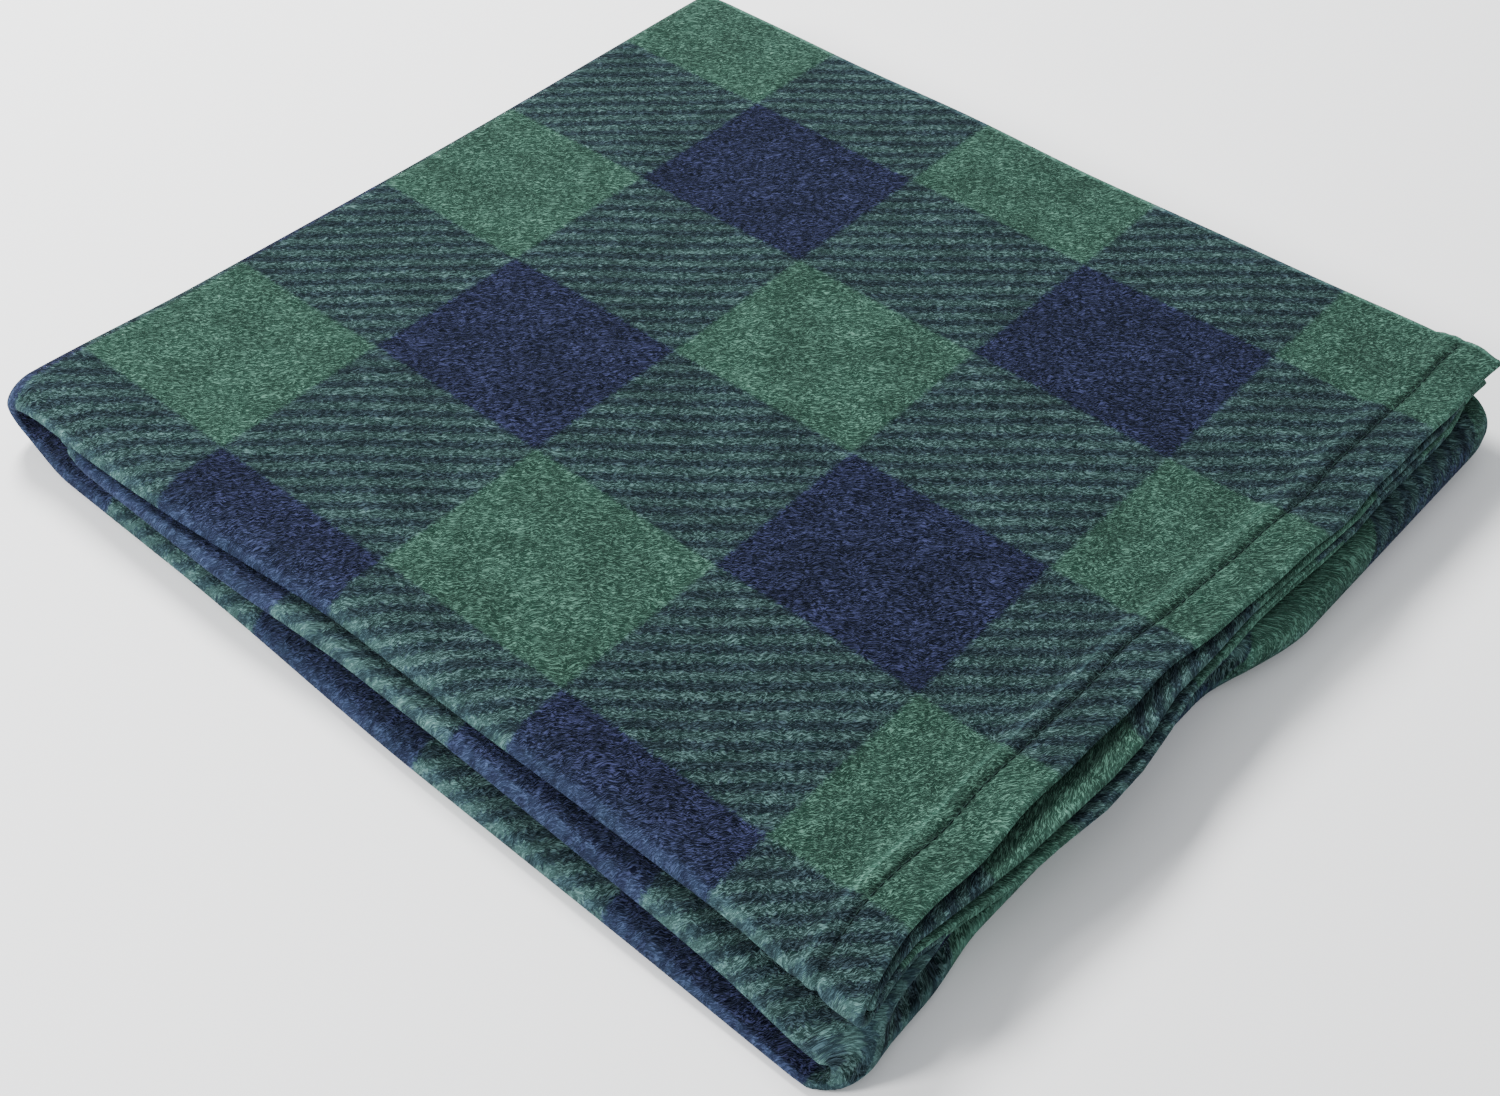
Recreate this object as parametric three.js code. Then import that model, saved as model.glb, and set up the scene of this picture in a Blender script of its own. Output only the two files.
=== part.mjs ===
// A camp blanket of polar fleece, folded for carrying. The cloth is folded in half twice across its
// width, which makes a strip of four layers, and the strip is then folded in thirds along its length.
// Millimetres, +Z up. The origin is on the floor under the middle of the folded packet. +X runs along
// the strip and +Y across it: the doubled spine of the strip is at the low Y side.
import * as THREE from "three";

// Driving dimensions of the folded blanket.
const LENGTH = 426; // the packet along X, over both of the strip's folds
const WIDTH = 388; // the packet across Y, from the spine to the far folded edge
const CLOTH = 2.3; // thickness of the fleece
const AIR = 0.35; // air between two layers of one third
const THIRD_GAP = 0.4; // air between two thirds that lie on each other
const LAYERS = 4; // layers of cloth in each third
const HEM = 18; // width of the turned and stitched hem
const SEAM = 1.6; // width of the furrow that the hem's stitching pulls in
const SEAM_DEPTH = 1.3; // thickness of the cloth in that furrow
const JOIN = 0.3; // clearance between two nodes that meet
const TOP_END_INSET = 1; // how far the top third's free end stays back from the packet's end
const INNER_END_INSET = 6; // how far the tucked-in end stays back from the wrapped fold
const EDGE_INSETS = [5, 2.5]; // how far the side hems of the third and fourth layers stay back
const STRIP_TURN_STEPS = 10; // facets round a half turn of the strip
const CLOTH_TURN_STEPS = 8; // facets round a half turn of the cloth

// Heights and places that follow from them.
const PITCH = CLOTH + AIR;
const STACK = LAYERS * CLOTH + (LAYERS - 1) * AIR;
const HEIGHT = 3 * STACK + 2 * THIRD_GAP;
const WRAP_RADIUS = HEIGHT / 2;
const TUCK_RADIUS = STACK + THIRD_GAP / 2;
const WRAP_X = -LENGTH / 2 + WRAP_RADIUS;
const TUCK_X = LENGTH / 2 - TUCK_RADIUS;
const SPINE_Y = -WIDTH / 2 + STACK / 2;
const FAR_FOLD_Y = WIDTH / 2 - CLOTH - AIR / 2;
const HEM_STEP = HEM + SEAM + 2 * JOIN; // from a hem's free edge to the cloth inside its seam

const FLEECE = { green: 0x2f6a5c, blue: 0x27395c, hem: 0x2b5563, thread: 0x1a2440 };

/** How deep the middle of a layer lies under the strip's outer face. Layer 0 is the outermost. */
const layerDepth = (layer) => CLOTH / 2 + layer * PITCH;

/** Points round a half turn of cloth between two depths, bulging towards side * Y. */
function halfTurn(y, fromDepth, toDepth, side) {
  const middle = (fromDepth + toDepth) / 2;
  const radius = Math.abs(toDepth - fromDepth) / 2;
  const sense = Math.sign(toDepth - fromDepth);
  const points = [];
  for (let step = 0; step <= CLOTH_TURN_STEPS; step += 1) {
    const angle = -Math.PI / 2 + (Math.PI * step) / CLOTH_TURN_STEPS;
    points.push({
      y: y + side * radius * Math.cos(angle),
      depth: middle + sense * radius * Math.sin(angle),
      alongY: -side * Math.sin(angle),
      alongDepth: sense * Math.cos(angle),
    });
  }
  return points;
}

/**
 * The section of the four-layer strip, as a closed outline of [y, depth] points. The cloth runs from
 * the free edge of the fourth layer round the spine to the outermost layer, turns back at the far
 * fold, and nests inside itself to end at the free edge of the third layer.
 */
function stripSection(thickness, thirdLayerEnd, fourthLayerEnd) {
  const [outer, second, third, fourth] = [0, 1, 2, 3].map(layerDepth);
  const path = [
    { y: fourthLayerEnd, depth: fourth, alongY: -1, alongDepth: 0 },
    ...halfTurn(SPINE_Y, fourth, outer, -1),
    ...halfTurn(FAR_FOLD_Y, outer, second, 1),
    ...halfTurn(SPINE_Y, second, third, -1),
    { y: thirdLayerEnd, depth: third, alongY: 1, alongDepth: 0 },
  ];
  const offset = (point, by) => [point.y - by * point.alongDepth, point.depth + by * point.alongY];
  const oneFace = path.map((point) => offset(point, thickness / 2));
  const otherFace = path.map((point) => offset(point, -thickness / 2)).reverse();
  return [...oneFace, ...otherFace];
}

/** A flat strip of cloth in one layer, as a closed outline of [y, depth] points. */
function flatSection(layer, lowY, highY, thickness) {
  const depth = layerDepth(layer);
  return [
    [lowY, depth - thickness / 2],
    [highY, depth - thickness / 2],
    [highY, depth + thickness / 2],
    [lowY, depth + thickness / 2],
  ];
}

/** Two stations of a third that lies flat: its outer face is at height z and faces down or up. */
function flatRun(fromX, toX, z, faces) {
  return [fromX, toX].map((x) => ({ x, z, inX: 0, inZ: -faces }));
}

/** Stations round a half turn of the strip, whose outer face has this radius about (x, z). */
function foldRun(x, z, radius, side) {
  const stations = [];
  for (let step = 0; step <= STRIP_TURN_STEPS; step += 1) {
    const angle = -Math.PI / 2 + (Math.PI * step) / STRIP_TURN_STEPS;
    const outX = side * Math.cos(angle);
    const outZ = Math.sin(angle);
    stations.push({ x: x + radius * outX, z: z + radius * outZ, inX: -outX, inZ: -outZ });
  }
  return stations;
}

/** Six times the volume that the triangles enclose: positive where they face out. */
function enclosedVolume(positions, index) {
  const corner = (i) => new THREE.Vector3().fromArray(positions, 3 * index[i]);
  let total = 0;
  for (let i = 0; i < index.length; i += 3) {
    total += corner(i).dot(corner(i + 1).cross(corner(i + 2)));
  }
  return total;
}

/** A closed solid: the section carried along the stations, with a flat cap at both ends. */
function sweptGeometry(section, stations) {
  const outline = section.map(([y, depth]) => new THREE.Vector2(y, depth));
  if (THREE.ShapeUtils.isClockWise(outline)) {
    outline.reverse();
  }
  const count = outline.length;
  const positions = stations.flatMap(({ x, z, inX, inZ }) =>
    outline.flatMap((point) => [x + point.y * inX, point.x, z + point.y * inZ]),
  );
  const index = [];
  for (let station = 0; station < stations.length - 1; station += 1) {
    for (let point = 0; point < count; point += 1) {
      const a = station * count + point;
      const b = station * count + ((point + 1) % count);
      index.push(a, b, b + count, a, b + count, a + count);
    }
  }
  const lastRing = (stations.length - 1) * count;
  for (const [a, b, c] of THREE.ShapeUtils.triangulateShape(outline, [])) {
    index.push(c, b, a, lastRing + a, lastRing + b, lastRing + c);
  }
  if (enclosedVolume(positions, index) < 0) {
    index.reverse();
  }
  const geometry = new THREE.BufferGeometry();
  geometry.setAttribute("position", new THREE.Float32BufferAttribute(positions, 3));
  geometry.setIndex(index);
  geometry.computeVertexNormals();
  return geometry;
}

const blanket = new THREE.Group();

function addPiece(name, colour, section, stations) {
  const material = new THREE.MeshStandardMaterial({ color: colour, roughness: 0.95, metalness: 0 });
  const piece = new THREE.Mesh(sweptGeometry(section, stations), material);
  piece.name = name;
  blanket.add(piece);
}

const [thirdLayerEnd, fourthLayerEnd] = EDGE_INSETS.map((inset) => WIDTH / 2 - inset);
const PANEL_SECTION = stripSection(CLOTH, thirdLayerEnd - HEM_STEP, fourthLayerEnd - HEM_STEP);
const FULL_SECTION = stripSection(CLOTH, thirdLayerEnd, fourthLayerEnd);
const END_SEAM_SECTION = stripSection(SEAM_DEPTH, thirdLayerEnd, fourthLayerEnd);

// Each third: where it runs from its fold, where it ends, and the height of its outer face. Faces is
// 1 where the outer face is up. The bottom third runs from fold to fold, so it has no hemmed end.
const INNER_END = WRAP_X + INNER_END_INSET;
const TOP_END = LENGTH / 2 - TOP_END_INSET;
const INNER_Z = 2 * STACK + THIRD_GAP;
const THIRDS = [
  { name: "bottom", fold: WRAP_X, end: TUCK_X, z: 0, faces: -1, hemmed: false },
  { name: "inner", fold: TUCK_X, end: INNER_END, z: INNER_Z, faces: 1, hemmed: true },
  { name: "top", fold: WRAP_X, end: TOP_END, z: HEIGHT, faces: 1, hemmed: true },
];

/** The hem and its stitched seam along the far edge of the third and fourth layers of one third. */
function addSideHems(third, fromX, toX) {
  const edges = [
    { layer: 2, edgeY: thirdLayerEnd, name: "inner" },
    { layer: 3, edgeY: fourthLayerEnd, name: "outer" },
  ];
  const run = flatRun(fromX, toX, third.z, third.faces);
  for (const { layer, edgeY, name } of edges) {
    const seamY = edgeY - HEM - JOIN - SEAM;
    const hem = flatSection(layer, edgeY - HEM, edgeY, CLOTH);
    const seam = flatSection(layer, seamY, seamY + SEAM, SEAM_DEPTH);
    addPiece(`${third.name}_side_hem_${name}`, FLEECE.hem, hem, run);
    addPiece(`${third.name}_side_seam_${name}`, FLEECE.thread, seam, run);
  }
}

/** One third: its panel, its side hems and, where its end is free, that end's seam and hem. */
function addThird(third) {
  const along = Math.sign(third.end - third.fold);
  const start = third.fold + along * JOIN;
  const panelEnd = third.hemmed ? third.end - along * HEM_STEP : third.end - along * JOIN;
  const run = (fromX, toX) => flatRun(fromX, toX, third.z, third.faces);
  addPiece(`${third.name}_third`, FLEECE.green, PANEL_SECTION, run(start, panelEnd));
  addSideHems(third, start, panelEnd);
  if (third.hemmed) {
    const hemStart = third.end - along * HEM;
    const seamEnd = hemStart - along * JOIN;
    const seamRun = run(seamEnd - along * SEAM, seamEnd);
    addPiece(`${third.name}_end_seam`, FLEECE.thread, END_SEAM_SECTION, seamRun);
    addPiece(`${third.name}_end_hem`, FLEECE.hem, FULL_SECTION, run(hemStart, third.end));
  }
}

THIRDS.forEach(addThird);
addPiece("tucked_fold", FLEECE.blue, FULL_SECTION, foldRun(TUCK_X, TUCK_RADIUS, TUCK_RADIUS, 1));
addPiece("wrapped_fold", FLEECE.blue, FULL_SECTION, foldRun(WRAP_X, WRAP_RADIUS, WRAP_RADIUS, -1));

export default blanket;
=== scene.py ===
# The looks of a folded camp blanket: one fleece sheet, folded in four across and in three along.
# Its cloth is one surface over two measures. Stations run along the folded strip, and samples run
# round the strip's four-layer section. It is cut into three pieces, so that the top third can open.
# Lengths are in metres, in the frame's own axes: X along the strip, Y across it, Z up.
import math

import bpy
import numpy as np
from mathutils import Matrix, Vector


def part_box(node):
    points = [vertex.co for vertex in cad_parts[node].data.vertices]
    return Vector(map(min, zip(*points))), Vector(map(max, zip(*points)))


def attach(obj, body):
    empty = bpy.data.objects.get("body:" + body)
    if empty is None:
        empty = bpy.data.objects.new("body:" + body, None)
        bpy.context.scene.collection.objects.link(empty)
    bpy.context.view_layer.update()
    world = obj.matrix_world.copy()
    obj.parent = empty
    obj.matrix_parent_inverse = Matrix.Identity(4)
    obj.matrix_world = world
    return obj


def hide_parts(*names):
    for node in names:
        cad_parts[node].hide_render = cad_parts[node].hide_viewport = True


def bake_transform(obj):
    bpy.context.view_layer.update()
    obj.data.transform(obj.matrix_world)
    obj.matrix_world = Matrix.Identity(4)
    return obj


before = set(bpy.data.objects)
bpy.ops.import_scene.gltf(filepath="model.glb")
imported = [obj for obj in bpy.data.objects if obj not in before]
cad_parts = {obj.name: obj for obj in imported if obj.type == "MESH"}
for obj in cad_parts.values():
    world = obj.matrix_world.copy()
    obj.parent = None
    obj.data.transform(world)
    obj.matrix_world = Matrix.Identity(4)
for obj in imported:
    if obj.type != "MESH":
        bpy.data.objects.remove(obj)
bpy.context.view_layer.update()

MM = 0.001

# ------------------------------------------------------------------ sizes read from the frame

wrap_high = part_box("wrapped_fold")[1]
tuck_low, tuck_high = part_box("tucked_fold")
third_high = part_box("bottom_third")[1]
side_hem_low, side_hem_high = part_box("top_side_hem_inner")
end_hem_low, end_hem_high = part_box("top_end_hem")
inner_hem_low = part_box("inner_end_hem")[0]

HEIGHT = wrap_high.z
WRAP_RADIUS = HEIGHT / 2
WRAP_X = wrap_high.x  # where the wrapped fold starts to turn
TUCK_RADIUS = tuck_high.z / 2
TUCK_X = tuck_low.x  # where the tucked fold starts to turn
STACK = third_high.z  # thickness of one third
CLOTH = side_hem_high.z - side_hem_low.z
PITCH = (STACK - CLOTH) / 3  # from one of a third's four layers to the next
TOP_END_X = end_hem_high.x
INNER_END_X = inner_hem_low.x
HEM = end_hem_high.x - end_hem_low.x

# ------------------------------------------------------------------ how the cloth lies

BOTTOM, INNER, TOP = 0, 1, 2  # the thirds
NOSES = (11 * MM, 12 * MM, 13 * MM)  # each third thins to its doubled spine over this length
NEST_NOSE = 7 * MM  # length of the fold nested inside the spine
NEST_GAP = 6 * MM  # from the spine to that nested fold
NEST_DROOP = 0.4  # share of the spine's droop that the nested fold takes
FAR_NOSE = 3.2 * MM  # length of the far fold
SIDE_INSETS = (2.5 * MM, 5 * MM)  # side hems of the fourth and third layers, back from the far fold
END_SPREAD = (0, 1, 1.45, 1.3)  # where each layer's free end lies, in shares of their spread
SLIDE_RUN = 80 * MM  # the top third's layers slide over each other for this far from the free end
TUCK_RUN = 70 * MM  # the tucked fold is moved from this far before its turn
WRAP_RUN = 50 * MM  # and the wrapped fold up to this far after its own
TUCK_DENT = 10 * MM  # depth of the dent in the tucked fold
CREASE_DROP = 5.5 * MM  # the crease over the bottom third comes down by this at the front corner
BILLOW = 0.35 * MM  # height of each of the two waves in the top third's face
BILLOW_RUN = 60 * MM  # the top third billows fully from this far after the wrapped fold
END_LIFT = 1.8 * MM  # the outermost layer's free end lifts by this
EDGE_SINK = 0.3  # share by which the stack of hems is pressed flatter at the far edge

HEM_CLOTH = 3.1 * MM  # thickness of a turned hem near its edge
HEM_PUFF = 0.7 * MM  # and how much thicker it is along its middle
HEM_SLOPE = 25 * MM  # the stack of thick hems rises over this length
RIDGE = 6.5 * MM  # the cloth stays that full for this far inside the furrow
RIDGE_EDGE = 2.6 * MM  # and thins to plain cloth over this length
FURROW = 0.74  # share of the thickness that the hem's stitching takes away
FURROW_WIDTH = 1.6 * MM  # from the furrow's middle to where about a third of its depth is left
GATHER = 0.7  # share of the furrow that is missing where it meets the far fold
GATHER_RUN = 7 * MM  # it is back in full this far from there

BEND_RADIUS = 6 * MM  # cloth bent as tightly as this has its pile wide open
SHUT = 0.4  # and at this share of that bend it is still shut
SPINE_OPENING_AND_HIGHLIGHT = 17 * MM  # the pile lies open, and is painted lighter as a highlight, for this far from the spine
LIP_OPEN_AND_HIGHLIGHT, SPINE_OPEN_AND_HIGHLIGHT = 0.6, 0.4  # how far handling opens the pile at a free edge, and at the spine, where it is also painted lighter as a highlight

STITCH = 3.2 * MM  # length of one stitch
STITCH_STEP = 4 * MM  # from one stitch to the next
THREAD = 0.5 * MM  # its thickness
STITCH_ARCH = 0.4  # how far a stitch's middle stands out, in thicknesses of its thread
STITCH_END = 0.1  # share of its section's area that is left at its ends

# ------------------------------------------------------------------ the mesh

FINE = 3.4 * MM  # spacing on the top third
COARSE = 5.5 * MM  # and on the thirds under it
TUCK_STEPS, WRAP_STEPS = 18, 26  # stations round the strip's two folds
SPINE_STEPS, FAR_STEPS, NEST_STEPS = 22, 10, 12  # samples round the cloth's folds
HIDDEN_SHARES = [0.02, *np.linspace(0.05, 0.95, 16), 0.98]  # where the layers that don't show are sampled
NO_EDGE = 1.0  # a distance that stands for no free edge nearby

# ------------------------------------------------------------------ the printed check

CHECK_X = 54 * MM
CHECK_Y = -78.4 * MM
CELL_X = 87.2 * MM
CELL_Y = 73.7 * MM
CHECK_TURN = math.radians(0.77)
TWILL_LINES = 7  # dark lines across one mixed square
BORDER = 0.05  # half the blur of a square's border, as the sine of its place in the cell
WRAP_PRINT = 48.5 * MM  # length of print that goes round the wrapped fold
TUCK_PRINT = 3.8 * MM  # and round the tucked fold
THIRD_SLIP = -0.29  # how far the check slips across the strip at each of those folds, in cells
PRINT_PULL = 6 * MM  # how much narrower the last check before the wrapped fold is printed
TUCK_PULL = 3 * MM  # how much wider the last one before the tucked fold is
ASKEW = 38 * MM  # how far the print is pulled askew at the tucked-in end of the spine
BOTTOM_PRINT = WRAP_X - WRAP_PRINT  # place on the print where the bottom third meets the wrapped fold
INNER_PRINT = BOTTOM_PRINT - (TUCK_X - WRAP_X) - TUCK_PRINT  # and the inner third the tucked fold


def smooth(share):
    """0 up to 0 and 1 from 1, passing smoothly between them."""
    share = np.clip(share, 0, 1)
    return share * share * (3 - 2 * share)


def hump(share):
    """1 at 0, falling smoothly to 0 at -1 and at 1."""
    return 1 - smooth(np.abs(share))


def ease(place, start, end):
    """0 at start and 1 at end, which are in millimetres, and smooth between them."""
    return smooth((place / MM - start) / (end - start))


def bulge(place, middle, reach):
    """1 at the middle, and 0 from this far away. Both are in millimetres."""
    return hump((place / MM - middle) / reach)


def curve(place, start, *bends):
    """A line that starts at one value and takes bends. Each bend is how far the line moves, and
    between which two places it does so. All are in millimetres."""
    return MM * (start + sum(move * ease(place, low, high) for move, low, high in bends))


def path_length(*axes):
    """Length of a path up to each of its points, which lie along the last axis of its coordinates."""
    steps = np.sqrt(sum(np.diff(axis, axis=-1) ** 2 for axis in axes))
    return np.concatenate([np.zeros(steps.shape[:-1] + (1,)), np.cumsum(steps, axis=-1)], -1)


# ------------------------------------------------------------------ edges of the folded packet


def spine_lines(x):
    """Y of the doubled spine at this X, on the bottom, inner and top thirds."""
    corner = (3.5, 200, 214)
    bottom = curve(x, -192.7, (3.2, 30, -110), (4, -172, -207), corner)
    inner = curve(x, -189, (3.5, -90, -10), (9, -158, -194), (-2.5, 150, 210), corner)
    top = curve(x, -186.5, (9.5, -165, -15), (-2.5, -185, -210), (-3, 140, 200))
    return bottom, inner, top


def droop_lines(x):
    """How far the spine's tip lies off the middle of each third, in layers towards the fourth."""
    return np.full_like(x, -0.7), -1 + 1.7 * ease(x, 10, 160), 1.1 - 1.4 * ease(x, 10, 170)


def far_lines(x):
    """Y of the far folded edge at this X, on the bottom, inner and top thirds."""
    lower = curve(x, 190, (-4, 194, 214))
    top = curve(x, 195.3, (0.9, -120, -15), (3.2, 60, 180), (-1.6, -188, -214), (-2, 200, 209))
    return lower, lower, top


def free_end_line(layer, y):
    """X of the top third's free end in each layer, where layer 0 is the outermost."""
    outer = curve(y, 196.5, (7.5, -30, 80), (6, -148, -183), (1, 150, 185))
    waver = 0.5 * MM * np.sin(y / (10.7 * MM)) + 0.35 * MM * np.sin(y / (6.3 * MM) + 1)
    spread = curve(y, 1.2, (-3, 150, 188)) + 9 * MM * bulge(y, -65, 110)
    return outer + waver + spread * np.interp(layer, range(len(END_SPREAD)), END_SPREAD)


def tuck_line(y):
    """How far the tucked fold stands in (-) or out (+) along X."""
    return curve(y, -9, (4, -118, -153), (-2.5, -176, -191), (9.5, 2, 54), (-3, 172, 192))


def tuck_dent(y):
    """How deep the tucked fold is pressed in at its middle height."""
    return TUCK_DENT * ease(y, 24, 2) * ease(y, -180, -150)


def wrap_line(y):
    """How far the wrapped fold stands in (+) or out (-) along X."""
    return 2.2 * MM * bulge(y, 20, 190) + curve(y, 0, (-3, -100, -180))


def billow(x, y):
    """How far the top third's soft face swells and sinks."""
    return BILLOW * (np.sin(x / (31 * MM) + 1) * np.sin(y / (37 * MM)) + np.sin((x + y) / (19 * MM)))


# ------------------------------------------------------------------ stations along the strip


def edge_distances():
    """Distances from a free edge that draw its rounded lip, its hem and, closest together, its
    stitched furrow and the ridge inside that."""
    lip = HEM_CLOTH / 2
    rounded = [lip * (1 - math.cos(step * math.pi / 8)) for step in range(5)]
    hem = [3.2, 6, 9, 12, 14.5]
    from_furrow = [-1.8, -1, -0.5, 0, 0.5, 1, 1.8, 3, 3.9, 4.8, 5.7, 6.6, 9]
    return rounded + [place * MM for place in hem] + [HEM + place * MM for place in from_furrow]


def evenly(start, end, spacing):
    """Places from start up to, but not at, end."""
    count = max(2, round(abs(end - start) / spacing))
    return list(np.linspace(start, end, count + 1)[:-1])


class Strip:
    """Stations from the tucked-in end of the strip to the free end of its top third."""

    def __init__(self):
        self.rows = []

    def flat(self, third, places, z, inward, print_at, free_end=None):
        """A flat run whose outer face is at height z. Inward is 1 where the layers lie above it."""
        for x in places:
            edge = NO_EDGE if free_end is None else abs(x - free_end)
            self.rows.append((third, x, z, 0.0, inward, edge, print_at(x)))

    def turn(self, thirds, centre, radius, outward, rising, prints, steps):
        """A half turn round a centre (x, z), from one third to the next."""
        for step in range(steps):
            passed = step / steps
            angle = rising * (passed - 0.5) * math.pi
            out_x, out_z = outward * math.cos(angle), math.sin(angle)
            third = thirds[0] + (thirds[1] - thirds[0]) * passed
            printed = prints[0] + (prints[1] - prints[0]) * passed
            x, z = centre[0] + radius * out_x, centre[1] + radius * out_z
            self.rows.append((third, x, z, -out_x, -out_z, NO_EDGE, printed))


def print_on_inner(x):
    """Place on the print at this X of the inner third."""
    return INNER_PRINT - (TUCK_X - x)


def print_on_bottom(x):
    """The same on the bottom third."""
    return BOTTOM_PRINT - (x - WRAP_X) + TUCK_PULL * smooth((x - TUCK_X) / CELL_X + 1)


def print_on_top(x):
    """The same on the top third, where the print follows X itself."""
    return x - PRINT_PULL * smooth((WRAP_X + CELL_X - x) / CELL_X)


def lay_strip():
    """Columns of third, x, z, inward x, inward z, distance to a free end and place on the print, and
    the stations where the wrapped fold starts and ends."""
    inner_z = 2 * TUCK_RADIUS
    tuck_centre, wrap_centre = (TUCK_X, TUCK_RADIUS), (WRAP_X, WRAP_RADIUS)
    tuck_prints = (INNER_PRINT, print_on_bottom(TUCK_X))
    wrap_prints = (BOTTOM_PRINT, print_on_top(WRAP_X))
    tucked_in = [INNER_END_X + distance for distance in edge_distances()]
    hemmed = [TOP_END_X - distance for distance in reversed(edge_distances())]

    strip = Strip()
    strip.flat(INNER, tucked_in, inner_z, -1, print_on_inner, INNER_END_X)
    strip.flat(INNER, evenly(tucked_in[-1] + COARSE, TUCK_X, COARSE), inner_z, -1, print_on_inner)
    strip.turn((INNER, BOTTOM), tuck_centre, TUCK_RADIUS, 1, -1, tuck_prints, TUCK_STEPS)
    strip.flat(BOTTOM, evenly(TUCK_X, WRAP_X, COARSE), 0, 1, print_on_bottom)
    wrap_start = len(strip.rows)
    strip.turn((BOTTOM, TOP), wrap_centre, WRAP_RADIUS, -1, 1, wrap_prints, WRAP_STEPS)
    wrap_end = len(strip.rows)
    strip.flat(TOP, evenly(WRAP_X, hemmed[0], FINE), HEIGHT, -1, print_on_top)
    strip.flat(TOP, hemmed, HEIGHT, -1, print_on_top, TOP_END_X)
    return np.array(strip.rows).T, wrap_start, wrap_end


# ------------------------------------------------------------------ samples round the section


class Section:
    """The cloth's middle surface in the strip's section, drawn for every station at once."""

    def __init__(self, stations):
        self.stations = stations
        self.columns = []

    def add(self, y, layer, edge=NO_EDGE):
        parts = (y, CLOTH / 2 + layer * PITCH, layer, edge)
        self.columns.append([np.broadcast_to(part, (self.stations,)).astype(float) for part in parts])

    def straight(self, start_y, end_y, layer, shares):
        for share in shares:
            self.add(start_y + (end_y - start_y) * share, layer)

    def fold(self, y, reach, from_layer, to_layer, steps, droop=0.0):
        """A fold between two layers: half an ellipse that reaches this far along Y, and whose tip
        droops towards the fourth layer."""
        for angle in np.linspace(-math.pi / 2, math.pi / 2, steps + 2)[1:-1]:
            layer = from_layer + (to_layer - from_layer) * (1 + math.sin(angle)) / 2
            self.add(y + reach * math.cos(angle), layer + droop * math.cos(angle) ** 2)

    def hem(self, edge_y, layer, distances):
        for distance in distances:
            self.add(edge_y - distance, layer, distance)

    def arrays(self):
        return [np.array(part).T for part in zip(*self.columns)]


def lay_section(spine_y, far_y, nose, droop):
    """y, depth, layer and distance to a free edge, by station and sample. The samples run from the
    fourth layer's free edge round the spine, over the outermost layer, back at the far fold, and
    round the nested fold to the third layer's free edge."""
    section = Section(len(spine_y))
    spine, nest, far = spine_y + nose, spine_y + NEST_GAP + NEST_NOSE, far_y - FAR_NOSE
    fourth_edge, third_edge = (far_y - inset for inset in SIDE_INSETS)
    distances = edge_distances()
    shown = round(float((far_y - spine_y).mean()) / FINE)
    section.hem(fourth_edge, 3, distances)
    section.straight(fourth_edge - distances[-1], spine, 3, HIDDEN_SHARES + [1.0])
    section.fold(spine, -nose, 3, 0, SPINE_STEPS, droop)
    section.straight(spine, far, 0, np.linspace(0, 1, shown))
    section.fold(far, FAR_NOSE, 0, 1, FAR_STEPS)
    section.straight(far, nest, 1, [0.0] + HIDDEN_SHARES + [1.0])
    section.fold(nest, -NEST_NOSE, 1, 2, NEST_STEPS, NEST_DROOP * droop)
    section.straight(nest, third_edge - distances[-1], 2, [0.0] + HIDDEN_SHARES)
    section.hem(third_edge, 2, reversed(distances))
    return section.arrays()


def cloth_thickness(edge, gathered=1.0):
    """Thickness at this distance from a free edge: a round lip, a puffed hem and its furrow, which
    is as deep as the cloth is gathered there, from 0 to 1."""
    rounded = np.sqrt(1 - np.clip(1 - edge / (HEM_CLOTH / 2), 0, 1) ** 2)
    full = CLOTH + (HEM_CLOTH - CLOTH) * smooth((HEM + RIDGE - edge) / RIDGE_EDGE)
    full = full + HEM_PUFF * hump((edge - HEM / 2) / (HEM / 2))
    furrow = 1 - gathered * FURROW * np.exp(-(((edge - HEM) / FURROW_WIDTH) ** 2))
    return full * furrow * rounded


# ------------------------------------------------------------------ the folded cloth


def stagger(x, y, layer):
    """The top third's layers end at different places."""
    return (free_end_line(layer, y) - TOP_END_X) * smooth((x - TOP_END_X + SLIDE_RUN) / SLIDE_RUN)


def tuck(x, y, z):
    """The tucked fold stands in along the front half of the packet and out along the back."""
    dent = tuck_dent(y) * hump(z / TUCK_RADIUS - 1.2) * smooth((x - TUCK_X) / TUCK_RADIUS)
    return tuck_line(y) * smooth((x - TUCK_X) / TUCK_RUN + 1) - dent


def crease_drop(x, y, z):
    """The crease over the bottom third runs down to the floor at the tucked fold's corner."""
    return CREASE_DROP * ease(x, 110, 206) * ease(y, -174, -188) * hump(z / STACK - 1)


def top_rise(x, y, layer, end_edge):
    """The top third billows. Its four thick hems lie higher than four layers of cloth, and the
    outermost lifts off them."""
    stacked = (HEM_CLOTH - CLOTH) * (3.5 - layer) * smooth((HEM + HEM_SLOPE - end_edge) / HEM_SLOPE)
    stacked = stacked * (1 - EDGE_SINK * ease(y, 120, 190))
    lifted = END_LIFT * bulge(y, -75, 100) * smooth(1 - end_edge / HEM) * (layer == 0)
    return stacked + lifted + billow(x, y) * smooth((x - WRAP_X) / BILLOW_RUN)


def place_on_print(along, across, slip):
    """Cells along and across the strip, measured on the cloth from the check's corner."""
    forward, sideways = along - CHECK_X, across - CHECK_Y
    cos, sin = math.cos(CHECK_TURN), math.sin(CHECK_TURN)
    cells_along = (cos * forward + sin * sideways) / CELL_X
    cells_across = (cos * sideways - sin * forward) / CELL_Y + slip
    return np.stack([cells_along, cells_across], -1)


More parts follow.
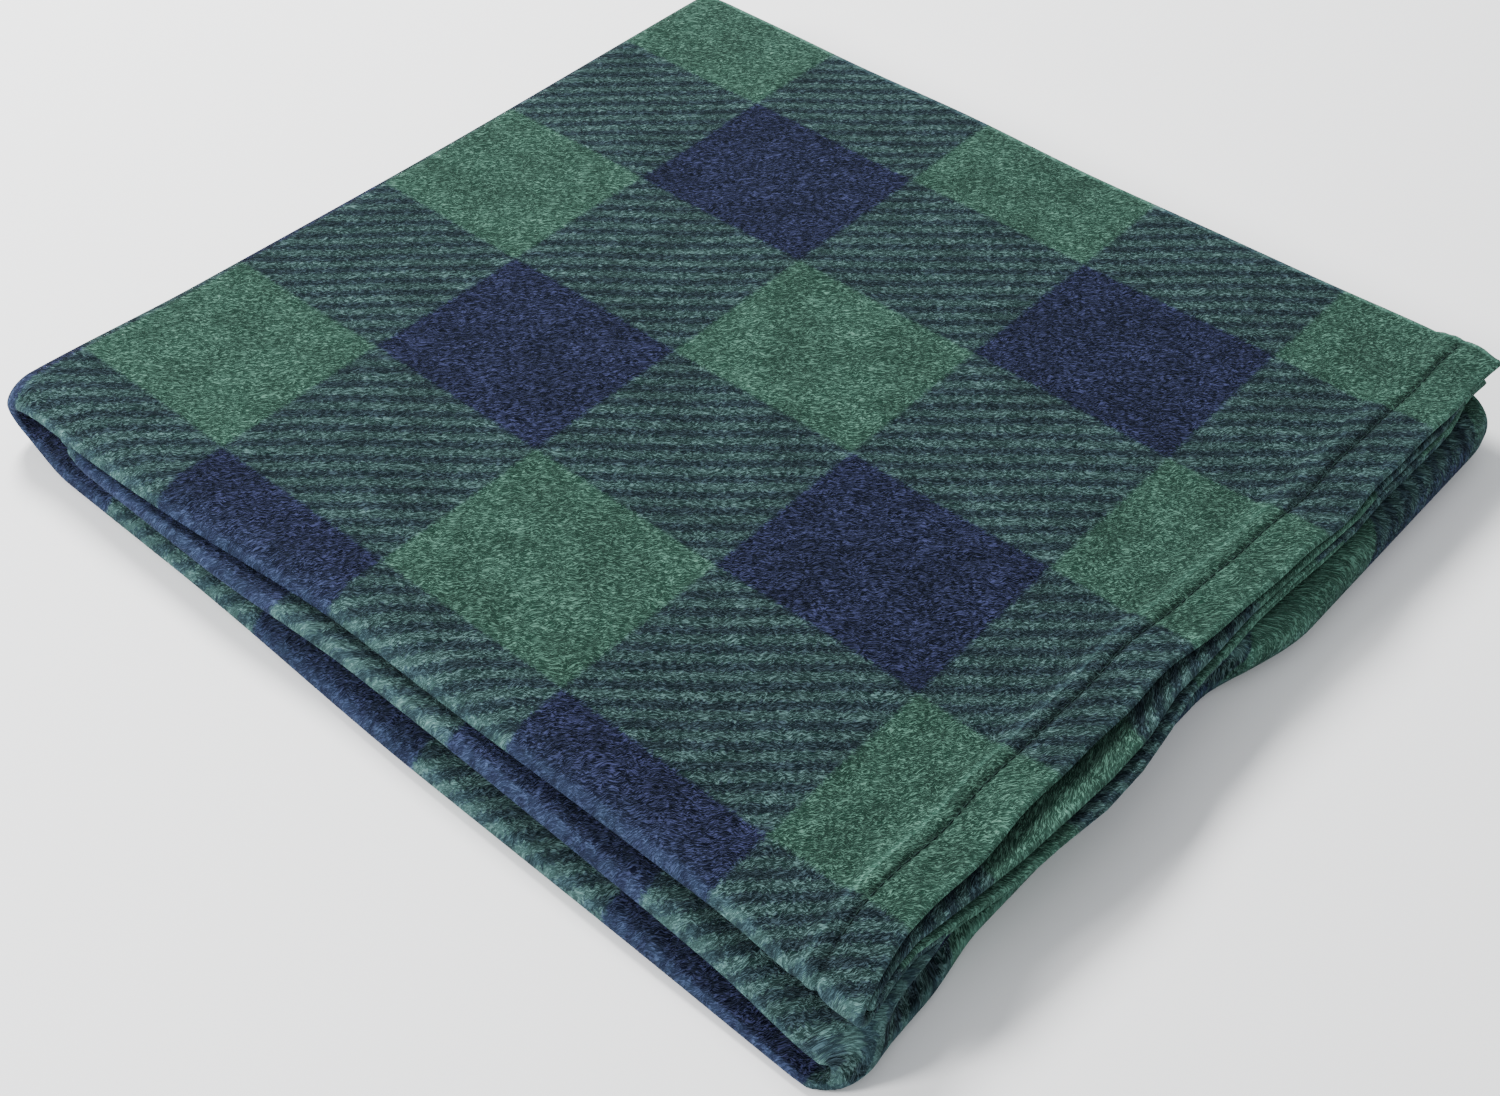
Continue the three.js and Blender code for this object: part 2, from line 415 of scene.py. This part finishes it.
class Cloth:
    """The whole sheet as it lies: middle surface, thickness and print, by station and sample."""

    def __init__(self):
        columns, self.wrap_start, self.wrap_end = lay_strip()
        self.third, out_x, out_z, in_x, in_z, self.end_edge, printed = columns
        station = np.arange(len(out_x))
        self.lower, self.upper = station < self.wrap_start, station >= self.wrap_end
        edges = spine_lines(out_x), far_lines(out_x), NOSES, droop_lines(out_x)
        spine_y, far_y, nose, droop = (self.along_thirds(lines) for lines in edges)
        y, depth, self.layer, self.side_edge = lay_section(spine_y, far_y, nose, droop)
        x = out_x[:, None] + depth * in_x[:, None]
        z = out_z[:, None] + depth * in_z[:, None]

        slid = stagger(x, y, self.layer) * self.upper[:, None]
        self.points = self.settle(x + slid, x, y, z)
        self.thickness = self.sewn_thickness(y, far_y)
        self.hem_distance = np.minimum(np.abs(self.side_edge - HEM), np.abs(self.end_edge - HEM)[:, None])
        # The spine's painted highlight is kept to the middle of the strip and fades out towards both ends.
        highlight_span = ease(out_x, -206, -120) * ease(out_x, 212, 120)
        self.near_spine = smooth(1 - (y - spine_y[:, None]) / SPINE_OPENING_AND_HIGHLIGHT) * highlight_span[:, None]

        along = path_length(out_x + in_x * STACK / 2, out_z + in_z * STACK / 2)
        across = path_length(y, depth)
        self.pile = np.stack([np.broadcast_to(along[:, None], y.shape), across], -1) / MM
        on_print = printed[:, None] + slid + self.askew(out_x, y)
        outermost = int(np.argmax(self.layer[0] == 0))
        across_print = across + (y - across)[:, outermost : outermost + 1]
        self.cells = place_on_print(on_print, across_print, self.slip()[:, None])

    def along_thirds(self, lines):
        """One measure of the packet for every station, passing smoothly from third to third."""
        bottom, inner, top = lines
        to_inner = bottom + (inner - bottom) * smooth(self.third)
        to_top = bottom + (top - bottom) * smooth(self.third / 2)
        return np.where(self.lower, to_inner, to_top)

    def settle(self, slid_x, x, y, z):
        """Points of the cloth once its folds and its free end have settled."""
        tucked = tuck(x, y, z) * self.lower[:, None]
        wrapped = wrap_line(y) * smooth((WRAP_X + WRAP_RUN - x) / WRAP_RUN)
        risen = top_rise(x, y, self.layer, self.end_edge[:, None]) * self.upper[:, None]
        return np.stack([slid_x + tucked + wrapped, y, z + risen - crease_drop(x, y, z)], -1)

    def sewn_thickness(self, y, far_y):
        """Thickness everywhere, with both hems. The end hem is gathered less at the far fold."""
        at_far_fold = hump((y - far_y[:, None]) / GATHER_RUN) * (self.layer < 1.5)
        end_hem = cloth_thickness(self.end_edge[:, None], 1 - GATHER * at_far_fold)
        return cloth_thickness(self.side_edge) * end_hem / CLOTH

    def askew(self, out_x, y):
        """How far the print is pulled along the strip at the tucked-in end of the spine."""
        near_end = smooth((WRAP_X + CELL_X - out_x) / CELL_X) * (self.third > BOTTOM) * self.lower
        return ASKEW * near_end[:, None] * ease(y, -110, -183)

    def slip(self):
        """How far the print has slipped across the strip at each station, in cells."""
        return THIRD_SLIP * np.where(self.lower, 1 + smooth(self.third), 1 - smooth(self.third / 2))


# ------------------------------------------------------------------ meshes


def unit(vectors):
    lengths = np.linalg.norm(vectors, axis=-1, keepdims=True)
    return vectors / np.maximum(lengths, 1e-12)


def surface_normals(points):
    """Normals of the cloth's middle surface, which point into the strip on its outermost layer."""
    return unit(np.cross(np.gradient(points, axis=1), np.gradient(points, axis=0)))


def pile_opening_and_highlight(cloth, normals):
    """How far bending and handling open the pile, from 0 to 1: on the front face, then on the back. The
    same value paints a highlight on rolled folds, the spine and free edges.
    """
    curvature = 0
    for axis in (0, 1):
        step, turn = np.gradient(cloth.points, axis=axis), np.gradient(normals, axis=axis)
        curvature = curvature + (step * turn).sum(-1) / (step**2).sum(-1)
    lip = np.exp(-np.minimum(cloth.side_edge, cloth.end_edge[:, None]) / HEM_CLOTH)
    opened_and_highlit = LIP_OPEN_AND_HIGHLIGHT * lip + SPINE_OPEN_AND_HIGHLIGHT * cloth.near_spine
    opened = [np.maximum(side * curvature * BEND_RADIUS - SHUT, 0) / (1 - SHUT) for side in (1, -1)]
    return np.concatenate([smooth(face + opened_and_highlit).ravel() for face in opened])


class Skin:
    """Both faces of the whole sheet as one closed mesh, from which the pieces are cut."""

    def __init__(self, cloth):
        rows, columns = cloth.layer.shape
        normals = surface_normals(cloth.points)
        half = normals * cloth.thickness[..., None] / 2
        outer, inner = cloth.points + half, cloth.points - half
        self.corners = np.concatenate([outer.reshape(-1, 3), inner.reshape(-1, 3)])
        self.maps = {"print": cloth.cells, "pile": cloth.pile}
        self.maps = {name: np.tile(places.reshape(-1, 2), (2, 1)) for name, places in self.maps.items()}
        self.marks = {"hem_distance": np.tile(cloth.hem_distance.ravel(), 2)}
        # The bend mark holds how open the pile is, and with it the painted highlight on rolled folds and
        # edges.
        self.marks["bend"] = pile_opening_and_highlight(cloth, normals)
        ids = np.arange(rows * columns).reshape(rows, columns)
        back = ids + rows * columns
        back[:, 0], back[:, -1] = ids[:, 0], ids[:, -1]
        back[0], back[-1] = ids[0], ids[-1]
        self.front_ids, self.back_ids = ids, back
        self.normals = self.smooth_normals()

    def quads(self, start, end):
        """Faces between two stations, on both sides of the cloth."""
        faces = []
        for ids, flip in ((self.front_ids, False), (self.back_ids, True)):
            a, b = ids[start:end, :-1], ids[start + 1 : end + 1, :-1]
            c, d = ids[start + 1 : end + 1, 1:], ids[start:end, 1:]
            ring = (a, b, c, d) if flip else (a, d, c, b)
            faces.append(np.stack(ring, -1).reshape(-1, 4))
        return np.concatenate(faces)

    def cap(self, station, flip):
        """Faces that close the cloth where it is cut at a station."""
        front, back = self.front_ids[station], self.back_ids[station]
        ring = (front[:-1], front[1:], back[1:], back[:-1])
        return np.stack(ring[::-1] if flip else ring, -1)

    def smooth_normals(self):
        """The whole sheet's normals, so that the pieces are shaded as one cloth."""
        quads = self.quads(0, len(self.front_ids) - 1)
        a, b, c, d = (self.corners[quads[:, corner]] for corner in range(4))
        facing = np.cross(c - a, d - b)
        total = np.zeros_like(self.corners)
        for corner in range(4):
            np.add.at(total, quads[:, corner], facing)
        return unit(total)

    def piece(self, name, start, end):
        """The cloth from one station to another, as a new object."""
        quads = self.quads(start, end)
        caps = []
        if start > 0:
            caps.append(self.cap(start, False))
        if end < len(self.front_ids) - 1:
            caps.append(self.cap(end, True))
        used, faces = np.unique(np.concatenate([quads, *caps]), return_inverse=True)
        made = make_object(name, self.corners[used], faces.reshape(-1, 4).tolist())
        self.dress(made.data, used, len(quads))
        return made

    def dress(self, mesh, used, quad_count):
        """Puts the maps, the marks and the whole sheet's normals on a piece. The faces after the
        quads are caps, which stay flat."""
        corner_of = np.empty(len(mesh.loops), int)
        mesh.loops.foreach_get("vertex_index", corner_of)
        for name, places in self.maps.items():
            mesh.uv_layers.new(name=name).data.foreach_set("uv", places[used][corner_of].ravel())
        for mark, values in self.marks.items():
            mesh.attributes.new(mark, "FLOAT", "POINT").data.foreach_set("value", values[used])
        normals = self.normals[used][corner_of]
        for cap in mesh.polygons[quad_count:]:
            cap.use_smooth = False
            normals[cap.loop_start : cap.loop_start + cap.loop_total] = cap.normal
        mesh.normals_split_custom_set(normals.tolist())


def make_object(name, corners, faces):
    """A new mesh. Where a face has one corner twice, as at a free edge, it keeps it once."""
    mesh = bpy.data.meshes.new(name)
    mesh.from_pydata(corners.tolist(), [], [list(dict.fromkeys(face)) for face in faces])
    mesh.shade_smooth()
    made = bpy.data.objects.new(name, mesh)
    bpy.context.scene.collection.objects.link(made)
    return made


# ------------------------------------------------------------------ hem stitching

STITCH_RINGS = np.linspace(-1, 1, 7)  # along one stitch
STITCH_TURNS = np.arange(6) * math.pi / 3  # round its thread


def seam_path(cloth, rows, columns):
    """Points of the stitching on the strip's exposed face, and the way out of the cloth at each."""
    outward = -surface_normals(cloth.points)
    exposed = cloth.points + outward * cloth.thickness[..., None] / 2
    return exposed[rows, columns], outward[rows, columns]


def seen_seams(cloth):
    """The stitching that can be seen on the base, and on the top third: along the strip's ends on
    its outermost layer, and round the fourth layer of the top third."""
    tucked_in, free_end = np.flatnonzero(np.isclose(cloth.end_edge, HEM))
    fourth_hem = np.flatnonzero(np.isclose(cloth.side_edge[0], HEM))[0]
    outermost, fourth = (np.flatnonzero(cloth.layer[0] == layer) for layer in (0, 3))
    on_base = [seam_path(cloth, tucked_in, outermost)]
    on_top = [
        seam_path(cloth, free_end, outermost),
        seam_path(cloth, free_end, fourth[fourth >= fourth_hem]),
        seam_path(cloth, slice(cloth.wrap_end, free_end), fourth_hem),
    ]
    return on_base, on_top


def stitch_rings(path, outward):
    """Corners of the stitches along one path, by stitch, ring and turn."""
    passed = path_length(*path.T)
    middles = np.arange(STITCH_STEP, passed[-1] - STITCH_STEP, STITCH_STEP)
    at = middles[:, None] + STITCH_RINGS * STITCH / 2

    def along_path(values):
        return np.stack([np.interp(at, passed, values[:, axis]) for axis in range(3)], -1)

    centre, up = along_path(path), unit(along_path(outward))
    side = unit(np.cross(np.gradient(centre, axis=1), up))
    arch = (1 - STITCH_RINGS**2)[:, None]
    centre = centre + up * arch * THREAD * STITCH_ARCH
    radius = np.sqrt(STITCH_END + (1 - STITCH_END) * arch) * THREAD / 2
    spokes = [math.cos(turn) * side + math.sin(turn) * up for turn in STITCH_TURNS]
    return np.stack([centre + spoke * radius for spoke in spokes], 2)


def add_stitches(name, seams):
    """All the stitches of these seams as one object, each a closed body."""
    corners = np.concatenate([stitch_rings(*seam) for seam in seams])
    ids = np.arange(corners[..., 0].size).reshape(corners.shape[:3])
    beside = np.roll(ids, -1, axis=2)
    sides = np.stack([ids[:, :-1], ids[:, 1:], beside[:, 1:], beside[:, :-1]], -1).reshape(-1, 4)
    ends = np.concatenate([ids[:, 0], ids[:, -1, ::-1]])
    return make_object(name, corners.reshape(-1, 3), sides.tolist() + ends.tolist())


# ------------------------------------------------------------------ materials

# Colours of the pile, deep in it and at its tips.
NAVY = ((0.0007, 0.0010, 0.0040, 1), (0.0280, 0.0322, 0.0810, 1))
GREEN = ((0.0070, 0.0240, 0.0161, 1), (0.0640, 0.1420, 0.1055, 1))
DARK_LINE = ((0.0018, 0.0050, 0.0070, 1), (0.0300, 0.0500, 0.0620, 1))
PALE_LINE = ((0.0048, 0.0150, 0.0140, 1), (0.0640, 0.1170, 0.1130, 1))
HIGHLIGHT_ON_TIPS = (0.013, 0.038, 0.037)  # painted highlight, added to the tips where the pile is open on rolled folds and edges
SHEEN_TINT = (0.62, 0.85, 0.92, 1)
# The thread has the fleece's green, painted as dark as the shade down in the stitched furrow.
THREAD_COLOURS_IN_PAINTED_SHADE = ((0.003, 0.010, 0.009, 1), (0.010, 0.028, 0.025, 1))

SWIRLS = ((0.09, 5.0), (0.45, 1.1))  # how tight each swirl of the pile is, and its reach in millimetres
LEANS = ((0.2, 3.0), (-0.3, 17.0))  # the angle of each layer of strands, and its place in the noise
STRAND_SHAPE = (0.29, 1.6, 1)  # strands are long along their layer's angle and narrow across it
LOOSENED = 0.55  # share of the strands' contrast that is gone where the pile is wide open
RAGGED = 0.045  # how far the strands carry a square's border, in cells
SHAKEN = 5.0  # and how far they carry the dark lines, as an angle of their wave
PATCHES = (0.86, 1.14)  # lightness of the dark and the light patches
FURROW_PAINTED_SHADE = 0.6  # painted shade: lightness of the cloth down in the stitched furrow
PILE_HEIGHT = 1.0 * MM


class Shader:
    """A short way to write a material's nodes."""

    def __init__(self, name):
        self.material = bpy.data.materials.new(name)
        self.material.use_nodes = True
        self.tree = self.material.node_tree
        self.surface = self.tree.nodes["Principled BSDF"]

    def node(self, kind, settings=(), **sockets):
        """Adds a node and returns its outputs. A socket goes by its name, or by its number as _0."""
        made = self.tree.nodes.new("ShaderNode" + kind)
        for key, value in dict(settings).items():
            setattr(made, key, value)
        for key, value in sockets.items():
            socket = made.inputs[int(key[1:])] if key[1:].isdigit() else made.inputs[key]
            self.feed(socket, value)
        return made.outputs

    def feed(self, socket, value):
        if isinstance(value, bpy.types.NodeSocket):
            self.tree.links.new(value, socket)
        else:
            socket.default_value = value

    def dress(self, inputs):
        """Feeds the surface's own sockets."""
        for name, value in inputs.items():
            self.feed(self.surface.inputs[name], value)

    def maths(self, operation, a, b=0.0, c=0.0):
        return self.node("Math", {"operation": operation}, _0=a, _1=b, _2=c)[0]

    def vector(self, operation, a, b, c=(0, 0, 0)):
        return self.node("VectorMath", {"operation": operation}, _0=a, _1=b, _2=c)[0]

    def scaled(self, colour, by):
        return self.node("VectorMath", {"operation": "SCALE"}, _0=colour, Scale=by)[0]

    def turned(self, place, angle):
        return self.node("VectorRotate", {"rotation_type": "Z_AXIS"}, Vector=place, Angle=angle)[0]

    def noise(self, place, scale, detail):
        """Noise over a map: its value, and then its colour."""
        settings = {"noise_dimensions": "2D"}
        return self.node("TexNoise", settings, Vector=place, Scale=scale, Detail=detail)

    def mark(self, name):
        """A value that the mesh carries at its points."""
        return self.node("Attribute", {"attribute_name": name})[2]

    def mix(self, share, a, b):
        made = self.tree.nodes.new("ShaderNodeMix")
        made.data_type = "RGBA"
        for socket, value in zip((made.inputs[0], made.inputs[6], made.inputs[7]), (share, a, b)):
            self.feed(socket, value)
        return made.outputs[2]

    def ramp(self, value, low, high, to_low=0.0, to_high=1.0):
        settings = {"interpolation_type": "SMOOTHSTEP"}
        made = self.node("MapRange", settings, _0=value, _1=low, _2=high, _3=to_low, _4=to_high)
        return made[0]


def cloth_places(shader):
    """Cells along and across the strip, and the place in the pile turned along the print's twill."""
    cells = shader.node("SeparateXYZ", _0=shader.node("UVMap", {"uv_map": "print"})[0])
    pile = shader.node("UVMap", {"uv_map": "pile"})[0]
    return cells[0], cells[1], shader.turned(pile, -math.atan2(CELL_Y, CELL_X))


def swirled(shader, place):
    """The pile's own grain: the place, bent by a wide swirl and a tight curl."""
    for scale, reach in SWIRLS:
        place = shader.vector("MULTIPLY_ADD", shader.noise(place, scale, 1.0)[1], (reach, reach, 0), place)
    return place


def strands_of_pile(shader, grain, bend):
    """Bright strands a few millimetres long, in two layers that lean across each other. They blur
    where the pile is open."""
    layers = []
    for angle, seed in LEANS:
        drawn = shader.vector("MULTIPLY", shader.turned(grain, angle), STRAND_SHAPE)
        place = shader.vector("ADD", drawn, (0, 0, seed))
        noise = shader.node("TexNoise", Vector=place, Scale=1.0, Detail=1.0, Roughness=0.5)[0]
        off_middle = shader.maths("ABSOLUTE", shader.maths("SUBTRACT", noise, 0.5))
        layers.append(shader.ramp(off_middle, 0.0, 0.12, 1.0, 0.0))
    combed = shader.maths("POWER", shader.ramp(shader.maths("ADD", *layers), 0.1, 1.7), 1.25)
    to_blur = shader.maths("SUBTRACT", 0.5, combed)
    return shader.maths("MULTIPLY_ADD", to_blur, shader.maths("MULTIPLY", bend, LOOSENED), combed)


def printed_check(shader, along, across, grain, strands):
    """The check: green and navy squares, and mixed ones with dark twill lines between them. Its
    borders and lines follow the strands."""
    carried = shader.maths("SUBTRACT", shader.noise(grain, 0.8, 2.0)[0], 0.5)
    ragged = shader.maths("MULTIPLY", carried, RAGGED)

    def even(cells):
        """1 in every second cell, and 0 in those between."""
        half_turns = shader.maths("MULTIPLY", shader.maths("ADD", cells, ragged), math.pi)
        return shader.ramp(shader.maths("SINE", half_turns), -BORDER, BORDER)

    twill = shader.maths("MULTIPLY", shader.maths("SUBTRACT", along, across), 2 * math.pi * TWILL_LINES)
    shaken = shader.maths("ADD", twill, shader.maths("MULTIPLY", carried, SHAKEN))
    stripe = shader.ramp(shader.maths("SINE", shaken), -0.75, 0.75)

    green, navy = shader.mix(strands, *GREEN), shader.mix(strands, *NAVY)
    mixed = shader.mix(stripe, shader.mix(strands, *DARK_LINE), shader.mix(strands, *PALE_LINE))
    even_across = even(across)
    in_odd = shader.mix(even_across, green, mixed)
    in_even = shader.mix(even_across, mixed, navy)
    return shader.mix(even(along), in_odd, in_even)


def lightness(shader, place, highlight_tufts):
    """Light and dark patches, painted shade in the stitched furrow, and a painted highlight in pale lumps
    where the pile is open.
    """
    patches = shader.ramp(shader.noise(place, 0.045, 3.0)[0], 0.3, 0.7, *PATCHES)
    # Painted shade, darker down in the stitched furrow.
    painted_furrow_shade = shader.ramp(shader.mark("hem_distance"), 0.3 * MM, 2.3 * MM, FURROW_PAINTED_SHADE, 1.0)
    shade = shader.maths("MULTIPLY", patches, painted_furrow_shade)
    return shader.maths("MULTIPLY", shade, shader.maths("ADD", highlight_tufts, 1.0))


def fleece_material():
    shader = Shader("fleece")
    along, across, place = cloth_places(shader)
    grain, bend = swirled(shader, place), shader.mark("bend")
    strands = strands_of_pile(shader, grain, bend)
    lumps = shader.noise(grain, 0.25, 2.0)[0]
    # Painted highlight in lumps, where the bend mark says the pile is open.
    highlight_tufts = shader.maths("MULTIPLY", bend, shader.ramp(lumps, 0.3, 0.7, 0.35, 1.0))

    colour = printed_check(shader, along, across, grain, strands)
    lit = shader.scaled(colour, lightness(shader, place, highlight_tufts))
    # Pale tips of the strands, painted as a highlight where the pile is open.
    painted_highlight_tips = shader.maths("MULTIPLY", highlight_tufts, strands)
    relief = shader.maths("MULTIPLY", lumps, shader.maths("MULTIPLY_ADD", bend, 0.9, 0.8))
    height = shader.maths("ADD", strands, relief)
    shader.dress(
        {
            "Base Color": shader.vector("MULTIPLY_ADD", painted_highlight_tips, HIGHLIGHT_ON_TIPS, lit),
            "Normal": shader.node("Bump", Strength=0.9, Distance=PILE_HEIGHT, Height=height)[0],
            "Roughness": 0.92,
            "Specular IOR Level": 0.03,
            "Sheen Weight": 0.03,
            "Sheen Roughness": 0.5,
            "Sheen Tint": SHEEN_TINT,
        }
    )
    return shader.material


def thread_material():
    shader = Shader("thread")
    noise = shader.node("TexNoise", Vector=shader.node("TexCoord")[3], Scale=2500.0, Detail=2.0)[0]
    shader.dress(
        {
            "Base Color": shader.mix(shader.ramp(noise, 0.35, 0.65), *THREAD_COLOURS_IN_PAINTED_SHADE),
            "Normal": shader.node("Bump", Strength=0.5, Distance=0.1 * MM, Height=noise)[0],
            "Roughness": 0.7,
            "Specular IOR Level": 0.1,
        }
    )
    return shader.material


def floor_material():
    shader = Shader("pale_floor")
    shader.dress({"Base Color": (0.94, 0.94, 0.94, 1), "Roughness": 0.9})
    return shader.material


# ------------------------------------------------------------------ camera, floor and lights

CAMERA_PLACE = (0.3709, -0.4131, 0.5143)
CAMERA_LOOKS = (-0.4656, 0.5178, -0.7177)  # the way it looks
CAMERA_LENS = 46.9  # in millimetres, like its sensor
CAMERA_SENSOR = 36
FLOOR_REACH = 4.0
FLOOR_Z = -0.2 * MM  # just under the lowest point of the cloth
SKY_COLOUR = (0.93, 0.96, 1.0, 1)
SKY_STRENGTH = 0.82


def facing(direction):
    """The rotation of a camera or lamp that points this way."""
    return Vector(direction).to_track_quat("-Z", "Y").to_euler()


def add_camera():
    camera = bpy.data.objects.new("camera", bpy.data.cameras.new("camera"))
    camera.data.lens = CAMERA_LENS
    camera.data.sensor_width = CAMERA_SENSOR
    camera.location = CAMERA_PLACE
    camera.rotation_euler = facing(CAMERA_LOOKS)
    bpy.context.scene.collection.objects.link(camera)
    bpy.context.scene.camera = camera


def add_floor():
    around = ((-1, -1), (1, -1), (1, 1), (-1, 1))
    corners = np.array([(FLOOR_REACH * x, FLOOR_REACH * y, FLOOR_Z) for x, y in around])
    floor = make_object("floor", corners, [[0, 1, 2, 3]])
    floor.data.materials.append(floor_material())


def add_light(name, place, size, power):
    """A soft round lamp that points at the middle of the blanket."""
    light = bpy.data.lights.new(name, "AREA")
    light.shape = "DISK"
    light.size = size
    light.energy = power
    lamp = bpy.data.objects.new(name, light)
    lamp.location = place
    lamp.rotation_euler = facing(-Vector(place))
    bpy.context.scene.collection.objects.link(lamp)


def add_studio():
    world = bpy.data.worlds.new("studio")
    world.use_nodes = True
    sky = world.node_tree.nodes["Background"]
    sky.inputs["Color"].default_value = SKY_COLOUR
    sky.inputs["Strength"].default_value = SKY_STRENGTH
    bpy.context.scene.world = world
    add_light("key", place=(-1.1, 0.5, 1.3), size=0.6, power=62)
    add_light("front", place=(-0.7, -1.3, 1.0), size=0.5, power=36)


# ------------------------------------------------------------------ the blanket

add_camera()
add_floor()
add_studio()

cloth = Cloth()
skin = Skin(cloth)
base = skin.piece("fleece_base", 0, cloth.wrap_start)
wrap = skin.piece("fleece_wrap", cloth.wrap_start, cloth.wrap_end)
top = skin.piece("fleece_top", cloth.wrap_end, len(cloth.layer) - 1)
base_seams, top_seams = seen_seams(cloth)
base_stitches = add_stitches("stitches_base", base_seams)
top_stitches = add_stitches("stitches_top", top_seams)

for slot, material, pieces in (
    ("fleece", fleece_material(), (base, wrap, top)),
    ("thread", thread_material(), (base_stitches, top_stitches)),
):
    for piece in pieces:
        piece.data.materials.append(material)

for piece in (base, base_stitches):
    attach(piece, "base")
for piece in (top, top_stitches):
    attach(piece, "top_flap")
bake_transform(wrap)
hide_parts(*[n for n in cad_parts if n.startswith(("bottom_", "inner_", "tucked_"))])
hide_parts("wrapped_fold")
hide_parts(*[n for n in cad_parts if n.startswith("top_")])
